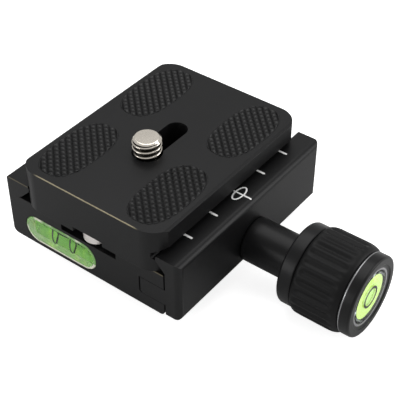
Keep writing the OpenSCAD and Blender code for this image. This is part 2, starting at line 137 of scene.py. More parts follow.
class ClampPattern(bpy.types.PropertyGroup):
    """Sizes of the patterns and small shapes that are added to the frame"""

    knurl_pitch: length_property(
        "Pad Knurl Pitch", "Distance between the grooves of the rubber pads", 0.6, 2, 1.35)
    knurl_depth: length_property(
        "Pad Knurl Depth", "Depth of the grooves of the rubber pads", 0.05, 0.5, 0.42)
    knurl_cross: FloatProperty(
        name="Cross Groove Share", description="Depth of the crossing grooves as a share of the main ones",
        subtype="FACTOR", min=0, max=1, default=0.85)
    grip_count: IntProperty(
        name="Grip Grooves", description="Number of grooves round the knob grip",
        min=12, max=60, default=28)
    grip_diameter: length_property(
        "Grip Diameter", "Largest diameter of the knob grip", 18, 22, 19.7)
    grip_bore: length_property(
        "Grip Bore", "Diameter of the hole of the knob grip", 15, 18, 16.5)
    grip_depth: length_property(
        "Grip Groove Depth", "Depth of the grooves of the knob grip", 0.1, 1, 0.42)
    thread_diameter: length_property(
        "Thread Diameter", "Outer diameter of the camera thread", 6, 7, 6.35)
    thread_pitch: length_property(
        "Thread Pitch", "Pitch of the camera thread", 1, 1.5, 1.27)
    mark_spacing: length_property(
        "Mark Spacing", "Distance between the index marks on the jaw", 5, 12, 8.45)
    ring_radius: length_property(
        "Round Level Ring", "Radius of the black ring of the round level", 1.5, 4, 2.3)


class ClampStage(bpy.types.PropertyGroup):
    """Studio round the clamp"""

    focal_length: FloatProperty(
        name="Focal Length", description="Focal length of the camera on a 36 mm sensor",
        min=20, max=200, default=93.9)
    camera_place: FloatVectorProperty(
        name="Camera Place", description="Where the camera stands",
        subtype="TRANSLATION", unit="LENGTH", size=3, default=(0.112864, -0.136807, 0.157095))
    camera_azimuth: FloatProperty(
        name="Camera Azimuth", description="Turn of the camera round the clamp",
        subtype="ANGLE", default=math.radians(37.233))
    camera_elevation: FloatProperty(
        name="Camera Elevation", description="Downward tilt of the camera",
        subtype="ANGLE", default=math.radians(40.861))
    world_light: FloatProperty(
        name="Room Light", description="Strength of the light from all round",
        min=0, max=3, default=0.55)
    top_light: power_property(
        "Top Softbox", "Power of the large softbox above", 1.0)
    side_light: power_property(
        "Side Softbox", "Power of the tall softbox behind on the right", 1.1)
    front_light: power_property(
        "Front Softbox", "Power of the softbox at the front left", 0.7)


def finish_of(context):
    return context.scene.clamp_finish


def pattern_of(context):
    return context.scene.clamp_pattern


def add(tree, kind, settings=None, **inputs):
    """Adds a node, sets its own settings and its input sockets by name, and returns it."""
    node = tree.nodes.new(kind)
    for name, value in (settings or {}).items():
        setattr(node, name, value)
    for name, value in inputs.items():
        socket = node.inputs[name.replace("_", " ")]
        if isinstance(value, bpy.types.NodeSocket):
            tree.links.new(value, socket)
        else:
            socket.default_value = value
    return node


def maths(tree, operation, first, second=None, clamp=False):
    """One sum on two values or sockets, returned as its output socket."""
    node = tree.nodes.new("ShaderNodeMath")
    node.operation = operation
    node.use_clamp = clamp
    for socket, value in zip(node.inputs, (first, second)):
        if isinstance(value, bpy.types.NodeSocket):
            tree.links.new(value, socket)
        elif value is not None:
            socket.default_value = value
    return node.outputs[0]


def ramp(tree, value, low, high, start=0.0, end=1.0):
    """Smooth step of a value between two limits."""
    node = add(tree, "ShaderNodeMapRange", {"interpolation_type": "SMOOTHSTEP"},
               Value=value, From_Min=low, From_Max=high, To_Min=start, To_Max=end)
    return node.outputs["Result"]


def blend_colour(tree, share, first, second):
    """Mixes two colours or colour sockets."""
    node = tree.nodes.new("ShaderNodeMix")
    node.data_type = "RGBA"
    for socket, value in ((node.inputs[0], share), (node.inputs[6], first), (node.inputs[7], second)):
        if isinstance(value, bpy.types.NodeSocket):
            tree.links.new(value, socket)
        else:
            socket.default_value = value
    return node.outputs[2]


def rgba(colour, factor=1.0):
    return (colour[0] * factor, colour[1] * factor, colour[2] * factor, 1.0)


def new_group(name, inputs, outputs, kind="ShaderNodeTree"):
    """Empty node group with named inputs and outputs."""
    tree = bpy.data.node_groups.new(name, kind)
    for socket_name, form, value in inputs:
        socket = tree.interface.new_socket(name=socket_name, in_out="INPUT", socket_type="NodeSocket" + form)
        if value is not None:
            socket.default_value = value
    for socket_name, form in outputs:
        tree.interface.new_socket(name=socket_name, in_out="OUTPUT", socket_type="NodeSocket" + form)
    return tree, tree.nodes.new("NodeGroupInput"), tree.nodes.new("NodeGroupOutput")


def use_group(tree, group_tree, vector, **values):
    """Places a node group, feeds its vector and sets its inputs by name."""
    group = tree.nodes.new("ShaderNodeGroup")
    group.node_tree = group_tree
    tree.links.new(vector, group.inputs["Vector"])
    for name, value in values.items():
        group.inputs[name.replace("_", " ")].default_value = value
    return group


def reach_of(tree, first, second):
    """Length of two parts at right angles."""
    squares = maths(tree, "ADD", maths(tree, "POWER", first, 2.0), maths(tree, "POWER", second, 2.0))
    return maths(tree, "SQRT", squares)


def grain_group():
    """Fine even grain with a slow change of tone under it."""
    if "fine grain" in bpy.data.node_groups:
        return bpy.data.node_groups["fine grain"]
    tree, given, result = new_group(
        "fine grain",
        [("Vector", "Vector", None),
         ("Grain Scale", "Float", 9000.0),
         ("Cloud Scale", "Float", 90.0),
         ("Tone Change", "Float", 0.2)],
        [("Tone", "Float"), ("Height", "Float")])
    fine = add(tree, "ShaderNodeTexNoise", Vector=given.outputs["Vector"], Scale=given.outputs["Grain Scale"],
               Detail=2.0, Roughness=0.6)
    cloud = add(tree, "ShaderNodeTexNoise", Vector=given.outputs["Vector"], Scale=given.outputs["Cloud Scale"],
                Detail=3.0, Roughness=0.55)
    both = maths(tree, "ADD", maths(tree, "MULTIPLY", fine.outputs[0], 0.45),
                 maths(tree, "MULTIPLY", cloud.outputs[0], 0.55))
    spread = maths(tree, "MULTIPLY", maths(tree, "SUBTRACT", both, 0.5), given.outputs["Tone Change"])
    tree.links.new(maths(tree, "ADD", maths(tree, "MULTIPLY", spread, 4.0), 1.0), result.inputs["Tone"])
    tree.links.new(fine.outputs[0], result.inputs["Height"])
    return tree


def worn_and_lit_edge_group():
    """Mask of a pale line along X, centred on the given place, ragged at its sides: worn edges, and the painted
    highlight on the channel floor's edge.
    """
    if "worn edge" in bpy.data.node_groups:
        return bpy.data.node_groups["worn edge"]
    tree, given, result = new_group(
        "worn edge",
        [("Vector", "Vector", None),
         ("Half Length", "Float", 0.01),
         ("Width", "Float", 0.0003),
         ("Strength", "Float", 1.0)],
        [("Mask", "Float")])
    place = add(tree, "ShaderNodeSeparateXYZ", Vector=given.outputs["Vector"])
    rag = add(tree, "ShaderNodeTexNoise", Vector=given.outputs["Vector"], Scale=1600.0, Detail=3.0)
    across = reach_of(tree, place.outputs["Y"], place.outputs["Z"])
    width = maths(tree, "MULTIPLY", given.outputs["Width"],
                  maths(tree, "ADD", maths(tree, "MULTIPLY", rag.outputs[0], 1.1), 0.45))
    line = maths(tree, "SUBTRACT", 1.0, maths(tree, "DIVIDE", across, width), clamp=True)
    along = maths(tree, "ABSOLUTE", place.outputs["X"])
    ends = maths(tree, "SUBTRACT", 1.0, ramp(tree, along, maths(tree, "MULTIPLY", given.outputs["Half Length"], 0.85),
                                             given.outputs["Half Length"]))
    sharp = ramp(tree, line, 0.02, 0.3)
    mask = maths(tree, "MULTIPLY", maths(tree, "MULTIPLY", sharp, ends), given.outputs["Strength"], clamp=True)
    tree.links.new(mask, result.inputs["Mask"])
    return tree


def circle_mask_group():
    """Mask of a circle of one radius round the X axis at x = 0."""
    if "circle mask" in bpy.data.node_groups:
        return bpy.data.node_groups["circle mask"]
    tree, given, result = new_group(
        "circle mask",
        [("Vector", "Vector", None),
         ("Radius", "Float", 0.007),
         ("Width", "Float", 0.0002)],
        [("Mask", "Float"), ("Inside", "Float")])
    place = add(tree, "ShaderNodeSeparateXYZ", Vector=given.outputs["Vector"])
    reach = reach_of(tree, place.outputs["Y"], place.outputs["Z"])
    off = maths(tree, "SUBTRACT", reach, given.outputs["Radius"])
    away = reach_of(tree, off, place.outputs["X"])
    near = maths(tree, "SUBTRACT", 1.0, ramp(tree, maths(tree, "DIVIDE", away, given.outputs["Width"]), 0.5, 1.0))
    tree.links.new(near, result.inputs["Mask"])
    tree.links.new(maths(tree, "LESS_THAN", off, 0.0), result.inputs["Inside"])
    return tree


def circle_mask(tree, place, x, radius, width, output="Mask"):
    """Mask of the circle of one radius round the knob axis at x."""
    at = add(tree, "ShaderNodeMapping", {"vector_type": "TEXTURE"}, Vector=place, Location=(x, 0.0, KNOB_AXIS))
    return use_group(tree, circle_mask_group(), at.outputs[0], Radius=radius, Width=width).outputs[output]


def new_material(name):
    """Material with an empty Principled shader and the object's own coordinates."""
    material = bpy.data.materials.new(name)
    material.use_nodes = True
    tree = material.node_tree
    shader = tree.nodes["Principled BSDF"]
    place = tree.nodes.new("ShaderNodeTexCoord").outputs["Object"]
    return material, tree, shader, place


def grain(tree, place, shader, colour, grain_scale, cloud_scale, tone, bump, bump_depth):
    """Feeds colour and bump of a shader from the fine grain and returns the colour socket."""
    group = use_group(tree, grain_group(), place, Grain_Scale=grain_scale, Cloud_Scale=cloud_scale, Tone_Change=tone)
    toned = add(tree, "ShaderNodeVectorMath", {"operation": "SCALE"}, Scale=group.outputs["Tone"])
    toned.inputs[0].default_value = colour[:3]
    tree.links.new(toned.outputs[0], shader.inputs["Base Color"])
    raised = add(tree, "ShaderNodeBump", Strength=bump, Distance=bump_depth, Height=group.outputs["Height"])
    tree.links.new(raised.outputs[0], shader.inputs["Normal"])
    return toned.outputs[0], group


def wear_and_highlight_line(tree, place, centre, half_length, width, strength):
    """Mask of one pale edge line along X through centre, for a worn edge and for the painted highlight on the channel
    floor's edge.
    """
    at = add(tree, "ShaderNodeMapping", {"vector_type": "TEXTURE"}, Vector=place, Location=tuple(centre))
    return use_group(tree, worn_and_lit_edge_group(), at.outputs[0], Half_Length=half_length, Width=width,
                     Strength=strength).outputs["Mask"]


def strongest(tree, place, one_line, lines):
    """Largest of the masks of the listed lines, or nothing where there are none."""
    mask = None
    for line in lines:
        one = one_line(tree, place, *line)
        mask = one if mask is None else maths(tree, "MAXIMUM", mask, one)
    return mask


def anodised(name, finish, roughness, lines, highlight_circles):
    """Blasted black anodised aluminium, with bare metal along the listed edge lines: worn edges, and the painted
    highlight on the channel floor's edge.

    The highlight circles are painted highlights: bright metallic rings where the turned edges catch the light.
    """
    material, tree, shader, place = new_material(name)
    colour, group = grain(tree, place, shader, finish.anodised, 7000.0, 70.0, 0.16, 0.35, 0.02 * MM)
    shader.inputs["Specular IOR Level"].default_value = 0.2
    gloss = maths(tree, "ADD", maths(tree, "MULTIPLY", group.outputs["Height"], 0.12), roughness - 0.06)
    # painted highlight: a lighter, metallic, glossier ring where a turned edge catches the light
    painted_highlight = strongest(tree, place, circle_mask, highlight_circles)
    if painted_highlight is not None:
        tree.links.new(maths(tree, "MULTIPLY", painted_highlight, 0.75), shader.inputs["Metallic"])
        tree.links.new(blend_colour(tree, painted_highlight, colour, (0.34, 0.34, 0.35, 1)), shader.inputs["Base Color"])
        gloss = maths(tree, "SUBTRACT", gloss, maths(tree, "MULTIPLY", painted_highlight, 0.12))
    # bare metal along worn edges, and a painted highlight along the channel floor's front edge
    worn_and_lit = strongest(tree, place, wear_and_highlight_line, lines)
    if worn_and_lit is not None:
        tree.links.new(blend_colour(tree, worn_and_lit, colour, rgba(finish.bare_edge_and_highlight)), shader.inputs["Base Color"])
        tree.links.new(maths(tree, "MULTIPLY", worn_and_lit, 0.2), shader.inputs["Metallic"])
    tree.links.new(gloss, shader.inputs["Roughness"])
    return material


def rubber(name, finish, roughness, sheen, scale=3500.0, cut=None):
    """Matt moulded rubber with a fine grain, and painted shade where the cut attribute is high: less specular down in
    the grooves.
    """
    material, tree, shader, place = new_material(name)
    grain(tree, place, shader, finish.rubber, scale, 120.0, 0.3, 0.5, 0.03 * MM)
    shader.inputs["Specular IOR Level"].default_value = sheen
    if cut:
        # painted shade: the specular level drops where the knurl grooves are deep
        deep = add(tree, "ShaderNodeAttribute", {"attribute_name": cut}).outputs["Fac"]
        tree.links.new(ramp(tree, deep, 0.1, 0.85, sheen, sheen * 0.24), shader.inputs["Specular IOR Level"])
    shader.inputs["Roughness"].default_value = roughness
    return material


def metal(name, colour, roughness, streak=0.1, shade=None):
    """Bare or plated metal with faint turning marks, and painted shade: darker where the shade attribute is low."""
    material, tree, shader, place = new_material(name)
    colour_out, group = grain(tree, place, shader, colour, 2500.0, 200.0, 0.12, 0.25, 0.01 * MM)
    if shade:
        # painted shade: the colour falls towards near black where the shade attribute is low
        depth = add(tree, "ShaderNodeAttribute", {"attribute_name": shade}).outputs["Fac"]
        deep = ramp(tree, depth, 0.36, 1.0)
        tree.links.new(blend_colour(tree, deep, rgba(colour, 0.03), colour_out), shader.inputs["Base Color"])
    shader.inputs["Metallic"].default_value = 1.0
    tree.links.new(maths(tree, "ADD", maths(tree, "MULTIPLY", group.outputs["Tone"], streak), roughness - streak),
                   shader.inputs["Roughness"])
    return material


def clear_plastic(name, tint, ior=1.47, ripple=0.1, ripple_depth=0.01 * MM):
    """Clear moulded acrylic with faint ripples."""
    material, tree, shader, place = new_material(name)
    grain(tree, place, shader, tint, 900.0, 150.0, 0.04, ripple, ripple_depth)
    shader.inputs["Transmission Weight"].default_value = 1.0
    shader.inputs["Roughness"].default_value = 0.03
    shader.inputs["IOR"].default_value = ior
    return material


def glowing_backing(name, colour, glow, ring_radius=None, mottle=0.0):
    """Bright backing behind a level, which glows with painted light in place of the light that its liquid passes.

    A ring radius gives the round level its deeper middle, and mottle paints its uneven light in yellow and pale
    patches.
    """
    material, tree, shader, place = new_material(name)
    colour_out, _ = grain(tree, place, shader, colour, 1500.0, 250.0, 0.08, 0.1, 0.01 * MM)
    if mottle:
        # painted light: yellow and pale patches stand in for light bent by the clear plastic
        cloud = add(tree, "ShaderNodeTexNoise", Vector=place, Scale=650.0, Detail=3.0)
        patch = add(tree, "ShaderNodeTexNoise", Vector=place, Scale=330.0, Detail=2.0)
        yellow = maths(tree, "MULTIPLY", ramp(tree, cloud.outputs[0], 0.48, 0.66), mottle)
        pale = maths(tree, "MULTIPLY", ramp(tree, patch.outputs[0], 0.55, 0.7), mottle)
        colour_out = blend_colour(tree, yellow, colour_out, (0.5, 0.62, 0.16, 1))
        colour_out = blend_colour(tree, pale, colour_out, (0.5, 0.56, 0.44, 1))
        tree.links.new(colour_out, shader.inputs["Base Color"])
    if ring_radius:
        inside = circle_mask(tree, place, 0.0, ring_radius, 0.2 * MM, "Inside")
        colour_out = blend_colour(tree, inside, colour_out, rgba((colour[0] * 0.9, colour[1], colour[2] * 1.1), 0.92))
        tree.links.new(colour_out, shader.inputs["Base Color"])
    shader.inputs["Roughness"].default_value = 0.45
    # painted light: the backing glows in its own colour though it is no lamp
    tree.links.new(colour_out, shader.inputs["Emission Color"])
    shader.inputs["Emission Strength"].default_value = glow
    return material


def paint(name, colour, roughness=0.5):
    """Filled paint with a slightly uneven surface."""
    material, tree, shader, place = new_material(name)
    grain(tree, place, shader, colour, 2500.0, 400.0, 0.08, 0.3, 0.02 * MM)
    shader.inputs["Roughness"].default_value = roughness
    return material


def placed(name, data):
    """Object with the given data, linked to the scene."""
    piece = bpy.data.objects.new(name, data)
    bpy.context.scene.collection.objects.link(piece)
    return piece


def give(material, *nodes):
    """Puts a material on CAD nodes that stay in view."""
    for name in nodes:
        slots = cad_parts[name].data.materials
        slots.clear()
        slots.append(material)


def smooth(mesh, angle=32.0):
    """Smooth faces with creases kept where the surface turns by more than the angle."""
    mesh.polygons.foreach_set("use_smooth", [True] * len(mesh.polygons))
    mesh.set_sharp_from_angle(angle=math.radians(angle))
    mesh.update()


def mesh_from(bm, name):
    """Closes off a bmesh into a mesh whose faces point outwards."""
    bmesh.ops.recalc_face_normals(bm, faces=bm.faces)
    mesh = bpy.data.meshes.new(name)
    bm.to_mesh(mesh)
    bm.free()
    return mesh


def piece_from(name, mesh, material, body, slot, *stands_for):
    """Makes a finished piece that rides a body and may stand for CAD nodes."""
    piece = placed(name, mesh)
    mesh.materials.clear()
    mesh.materials.append(material)
    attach(piece, body)
    if stands_for:
        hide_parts(*stands_for)


def baked(piece):
    """Plain mesh of a piece with its modifiers taken in."""
    bpy.context.view_layer.update()
    evaluated = piece.evaluated_get(bpy.context.evaluated_depsgraph_get())
    mesh = bpy.data.meshes.new_from_object(evaluated)
    old = piece.data
    bpy.data.objects.remove(piece)
    bpy.data.meshes.remove(old)
    return mesh


def joined_copy(node):
    """Copy of a CAD node's loose triangles as one connected solid of flat faces."""
    bm = bmesh.new()
    bm.from_mesh(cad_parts[node].data)
    bmesh.ops.remove_doubles(bm, verts=bm.verts, dist=SEAM)
    bmesh.ops.dissolve_degenerate(bm, edges=bm.edges, dist=SEAM)
    bmesh.ops.dissolve_limit(bm, angle_limit=math.radians(0.6), verts=bm.verts, edges=bm.edges)
    return bm


def eased_mesh(node, name, width):
    """Copy of a CAD node with its machined edges broken."""
    bm = joined_copy(node)
    mesh = bpy.data.meshes.new(name)
    bm.to_mesh(mesh)
    bm.free()
    mesh.polygons.foreach_set("use_smooth", [True] * len(mesh.polygons))
    piece = placed(name, mesh)
    ease = piece.modifiers.new("broken edges", "BEVEL")
    ease.width = width
    ease.segments = 2
    ease.limit_method = "ANGLE"
    ease.angle_limit = math.radians(28)
    flat = piece.modifiers.new("level faces", "WEIGHTED_NORMAL")
    flat.keep_sharp = True
    flat.weight = 100
    mesh = baked(piece)
    mesh.name = name
    return mesh


def add_ring(bm, radius, centre, frame_x, frame_y, steps):
    """One ring of points in the plane of two directions."""
    return [bm.verts.new(centre + frame_x * (radius * math.cos(a)) + frame_y * (radius * math.sin(a)))
            for a in (2 * math.pi * i / steps for i in range(steps))]


def loft(bm, rings, endless=False):
    """Joins rings of equal length with faces, and caps the first and last or joins them."""
    for first, second in zip(rings, rings[1:] + rings[:1] if endless else rings[1:]):
        count = len(first)
        for i in range(count):
            bm.faces.new((first[i], first[(i + 1) % count], second[(i + 1) % count], second[i]))
    if not endless:
        bm.faces.new(list(reversed(rings[0])))
        bm.faces.new(rings[-1])


class DressHousings(bpy.types.Operator):
    """Gives the clamp body, jaw, plate and knob their eased edges and anodised finish"""

    bl_idname = "clamp.dress_housings"
    bl_label = "Dress Housings"

    def execute(self, context):
        finish = finish_of(context)
        ease = finish.edge_ease
        plate_wear = [
            (Vector((0, plate_low.y, plate_high.z)), 14.2 * MM, 0.2 * MM, 1.0),
        ]
        base_wear_and_highlight = [
            # painted highlight: a pale line along the front edge of the channel floor, where its small bevel catches
            # the light
            (Vector((12 * MM, base_low.y, CHANNEL_FLOOR)), 8 * MM, 0.2 * MM, 0.4),
            (Vector((-20 * MM, base_low.y, base_high.z)), 3.4 * MM, 0.16 * MM, 0.3),
        ]
        shapes = (
            ("camera_plate", "plate_shell", "plate", "anodised", ease, 0.4, plate_wear),
            ("clamp_base", "clamp_housing", "clamp", "anodised", ease, 0.42, base_wear_and_highlight),
            ("movable_jaw", "jaw_housing", "jaw", "anodised", ease * 1.3, 0.4, []),
            ("knob_core", "knob_body", "knob", "knob_metal", ease, 0.33, []),
            ("knob_cap", "knob_front_ring", "knob", "knob_metal", ease * 0.7, 0.33, []),
        )
        # painted highlights on the front ring: round the window's chamfer and along its back edge by the grip
        painted_highlights = {"knob_front_ring": [
            (cap_high.x - 0.3 * MM, 6.32 * MM, 0.3 * MM),
            (grip_high.x + 0.18 * MM, (cap_high.z - cap_low.z) / 2 - 0.04 * MM, 0.4 * MM),
        ]}
        for node, name, body, slot, width, roughness, wear in shapes:
            mesh = eased_mesh(node, name, width)
            material = anodised("anodised " + name.replace("_", " "), finish, roughness, wear, painted_highlights.get(name, ()))
            piece_from(name, mesh, material, body, slot, node)
        return {"FINISHED"}


def knurl_tree():
    """Geometry nodes that press crossed grooves into the top of a flat pad."""
    tree, given, result = new_group(
        "pad knurl",
        [("Geometry", "Geometry", None), ("Pitch", "Float", None), ("Depth", "Float", None),
         ("Cross Share", "Float", None), ("Centre", "Vector", None), ("Material", "Material", None)],
        [("Geometry", "Geometry")], "GeometryNodeTree")
    here = tree.nodes.new("GeometryNodeInputPosition")
    away = add(tree, "ShaderNodeVectorMath", {"operation": "SUBTRACT"})
    tree.links.new(here.outputs[0], away.inputs[0])
    tree.links.new(given.outputs["Centre"], away.inputs[1])
    parts = add(tree, "ShaderNodeSeparateXYZ", Vector=away.outputs[0])
    step = maths(tree, "MULTIPLY", given.outputs["Pitch"], math.sqrt(2))
    main = maths(tree, "DIVIDE", maths(tree, "ADD", parts.outputs["X"], parts.outputs["Y"]), step)
    cross = maths(tree, "DIVIDE", maths(tree, "SUBTRACT", parts.outputs["X"], parts.outputs["Y"]), step)

    def groove(count):
        near = maths(tree, "PINGPONG", count, 0.5)
        return maths(tree, "SUBTRACT", 1.0, maths(tree, "DIVIDE", near, 0.42), clamp=True)

    deepest = maths(tree, "MAXIMUM", groove(main),
                    maths(tree, "MULTIPLY", groove(cross), given.outputs["Cross Share"]))
    share = add(tree, "GeometryNodeInputNamedAttribute", {"data_type": "FLOAT"}, Name="knurl_share")
    drop = maths(tree, "MULTIPLY", maths(tree, "MULTIPLY", deepest, given.outputs["Depth"]),
                 maths(tree, "MULTIPLY", share.outputs[0], -1.0))
    offset = add(tree, "ShaderNodeCombineXYZ", Z=drop)
    # groove depth kept as knurl_cut for the pad rubber's painted shade
    noted = add(tree, "GeometryNodeStoreNamedAttribute", {"data_type": "FLOAT", "domain": "POINT"},
                Geometry=given.outputs["Geometry"], Name="knurl_cut",
                Value=maths(tree, "MULTIPLY", deepest, share.outputs[0]))
    move = add(tree, "GeometryNodeSetPosition", Geometry=noted.outputs[0], Offset=offset.outputs[0])
    real = add(tree, "GeometryNodeRealizeInstances", Geometry=move.outputs[0])
    coat = add(tree, "GeometryNodeSetMaterial", Geometry=real.outputs[0], Material=given.outputs["Material"])
    tree.links.new(coat.outputs[0], result.inputs[0])
    return tree


def grow(name, mesh, tree, values):
    """Runs a geometry node tree on a mesh and returns the plain mesh that comes out."""
    piece = placed(name, mesh)
    nodes = piece.modifiers.new("shape", "NODES")
    nodes.node_group = tree
    for item in tree.interface.items_tree:
        if item.item_type == "SOCKET" and item.in_out == "INPUT" and item.name in values:
            nodes[item.identifier] = values[item.name]
    return baked(piece)


def pad_blank(low, high, rows=150, columns=72):
    """Flat oval pad of rows and columns, with the share of knurl that each top point takes."""
    centre = (low + high) / 2
    half = (high - low) / 2
    power = 0.76
    bm = bmesh.new()
    share = bm.verts.layers.float.new("knurl_share")

    def half_width(along):
        return half.x * max(0.0, 1 - abs(along) ** (2 / power)) ** (power / 2)

    top = []
    for j in range(rows + 1):
        along = math.sin(math.pi * (j / rows - 0.5)) * 0.12 + (2 * j / rows - 1) * 0.88
        along = max(-0.999, min(0.999, along))
        wide = half_width(along)
        line = []
        for i in range(columns + 1):
            across = 2 * i / columns - 1
            x = across * wide
            edge = min(wide - abs(x), (1 - abs(along)) * half.y)
            rim = max(0.0, min(1.0, edge / (0.3 * MM)))
            fall = (1 - rim) ** 2 * 0.14 * MM
            vert = bm.verts.new((centre.x + x, centre.y + along * half.y, high.z - fall))
            vert[share] = 0.55 + 0.45 * rim
            line.append(vert)
        top.append(line)
    for first, second in zip(top, top[1:]):
        for i in range(columns):
            bm.faces.new((first[i], first[i + 1], second[i + 1], second[i]))
    rim = (top[0][:-1] + [line[-1] for line in top[:-1]] + list(reversed(top[-1]))[:-1]
           + [line[0] for line in reversed(top)][:-1])
    base = []
    for vert in rim:
        foot = bm.verts.new((vert.co.x, vert.co.y, low.z))
        foot[share] = 0.0
        base.append(foot)
    for i, vert in enumerate(rim):
        after = (i + 1) % len(rim)
        bm.faces.new((vert, rim[after], base[after], base[i]))
    bm.faces.new(base)
    return mesh_from(bm, "pad_blank")


class MakePads(bpy.types.Operator):
    """Makes the four knurled rubber pads"""

    bl_idname = "clamp.make_pads"
    bl_label = "Make Rubber Pads"

    def execute(self, context):
        pattern = pattern_of(context)
        # painted shade in the knurl grooves through the knurl_cut attribute
        material = rubber("pad rubber", finish_of(context), 0.34, 0.4, cut="knurl_cut")
        tree = knurl_tree()
        for node in PAD_NODES:
            low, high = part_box(node)
            mesh = grow(node + "_work", pad_blank(low, high), tree, {
                "Pitch": pattern.knurl_pitch,
                "Depth": pattern.knurl_depth,
                "Cross Share": pattern.knurl_cross,
                "Centre": tuple((low + high) / 2),
                "Material": material,
            })
            smooth(mesh, 50.0)
            piece_from("rubber_" + node, mesh, material, "plate", "pad_rubber", node)
        return {"FINISHED"}


def grip_tree():
    """Geometry nodes that set one rib sector round the knob axis and join the seams."""
    tree, given, result = new_group(
        "grip ribs",
        [("Geometry", "Geometry", None), ("Count", "Int", None), ("Axis Height", "Float", None),
         ("Material", "Material", None)],
        [("Geometry", "Geometry")], "GeometryNodeTree")
    points = add(tree, "GeometryNodeMeshLine", {"mode": "OFFSET"}, Count=given.outputs["Count"])
    points.inputs["Offset"].default_value = (0, 0, 0)
    turn = maths(tree, "DIVIDE", maths(tree, "MULTIPLY", add(tree, "GeometryNodeInputIndex").outputs[0], 2 * math.pi),
                 given.outputs["Count"])
    angle = add(tree, "ShaderNodeCombineXYZ", X=turn)
    turned = add(tree, "FunctionNodeEulerToRotation")
    tree.links.new(angle.outputs[0], turned.inputs[0])
    ribs = add(tree, "GeometryNodeInstanceOnPoints", Points=points.outputs[0],
               Instance=given.outputs["Geometry"], Rotation=turned.outputs[0])
    real = add(tree, "GeometryNodeRealizeInstances", Geometry=ribs.outputs[0])
    joined = add(tree, "GeometryNodeMergeByDistance", Geometry=real.outputs[0], Distance=0.004 * MM)
    lift = add(tree, "ShaderNodeCombineXYZ", Z=given.outputs["Axis Height"])
    raised = add(tree, "GeometryNodeTransform", Geometry=joined.outputs[0], Translation=lift.outputs[0])
    coat = add(tree, "GeometryNodeSetMaterial", Geometry=raised.outputs[0], Material=given.outputs["Material"])
    tree.links.new(coat.outputs[0], result.inputs[0])
    return tree


def soft_step(value, low, high):
    share = max(0.0, min(1.0, (value - low) / (high - low)))
    return share * share * (3 - 2 * share)


def grip_sector(start, end, radius, bore, count, depth, steps=12):
    """One sector of the grip, from the middle of one rib to the middle of the next."""
    bm = bmesh.new()
    back = [(0.05, 0.75), (0.2, 0.42), (0.45, 0.25), (0.8, 0.12), (1.2, 0.04), (1.8, 0.0)]
    front = [(2.9, 0.0), (2.2, 0.03), (1.6, 0.1), (1.1, 0.22), (0.7, 0.38), (0.4, 0.56), (0.2, 0.74), (0.05, 1.0)]
    length = (end - start) / MM
    profile = list(back)
    middle = 14
    first, last = back[-1][0], length - front[0][0]
    profile += [(first + (last - first) * i / middle, 0.0) for i in range(1, middle)]
    profile += [(length - x, drop) for x, drop in front]
    rows = []
    for j in range(steps + 1):
        share = 2 * j / steps - 1
        angle = math.pi / count * share
        around = Vector((0, -math.sin(angle), math.cos(angle)))
        dip = (0.5 + 0.5 * math.cos(math.pi * share)) ** 1.15
        line = []
        for x, drop in profile:
            reach = soft_step(x, 0.7, 1.7) * (1 - soft_step(x, length - 2.5, length - 1.0))
            r = radius - drop * MM - depth * dip * reach
            line.append(bm.verts.new(Vector((start + x * MM, 0, 0)) + around * r))
        for x in (length - 0.05, 0.05):
            line.append(bm.verts.new(Vector((start + x * MM, 0, 0)) + around * bore))
        rows.append(line)
    for one, other in zip(rows, rows[1:]):
        size = len(one)
        for i in range(size):
            bm.faces.new((one[i], other[i], other[(i + 1) % size], one[(i + 1) % size]))
    mesh = bpy.data.meshes.new("grip_sector")
    bm.to_mesh(mesh)
    bm.free()
    return mesh


class MakeGrip(bpy.types.Operator):
    """Makes the ribbed rubber grip of the clamping knob"""

    bl_idname = "clamp.make_grip"
    bl_label = "Make Knob Grip"

    def execute(self, context):
        pattern = pattern_of(context)
        material = rubber("grip rubber", finish_of(context), 0.5, 0.17, scale=2600.0)
        sector = grip_sector(grip_low.x - 0.05 * MM, grip_high.x + 0.05 * MM, pattern.grip_diameter / 2,
                             pattern.grip_bore / 2, pattern.grip_count, pattern.grip_depth)
        mesh = grow("grip_work", sector, grip_tree(), {
            "Count": pattern.grip_count,
            "Axis Height": KNOB_AXIS,
            "Material": material,
        })
        bm = bmesh.new()
        bm.from_mesh(mesh)
        bmesh.ops.recalc_face_normals(bm, faces=bm.faces)
        bm.to_mesh(mesh)
        bm.free()
        smooth(mesh, 40.0)
        piece_from("ribbed_grip", mesh, material, "knob", "grip_rubber", "knob_grip")
        return {"FINISHED"}


def thread_height(turns):
    """Height of a truncated thread from 0 at the root to 1 at the crest."""
    part = turns - math.floor(turns)
    if part < 0.1:
        return 0.0
    if part < 0.44:
        return (part - 0.1) / 0.34
    if part < 0.6:
        return 1.0
    if part < 0.94:
        return (0.94 - part) / 0.34
    return 0.0


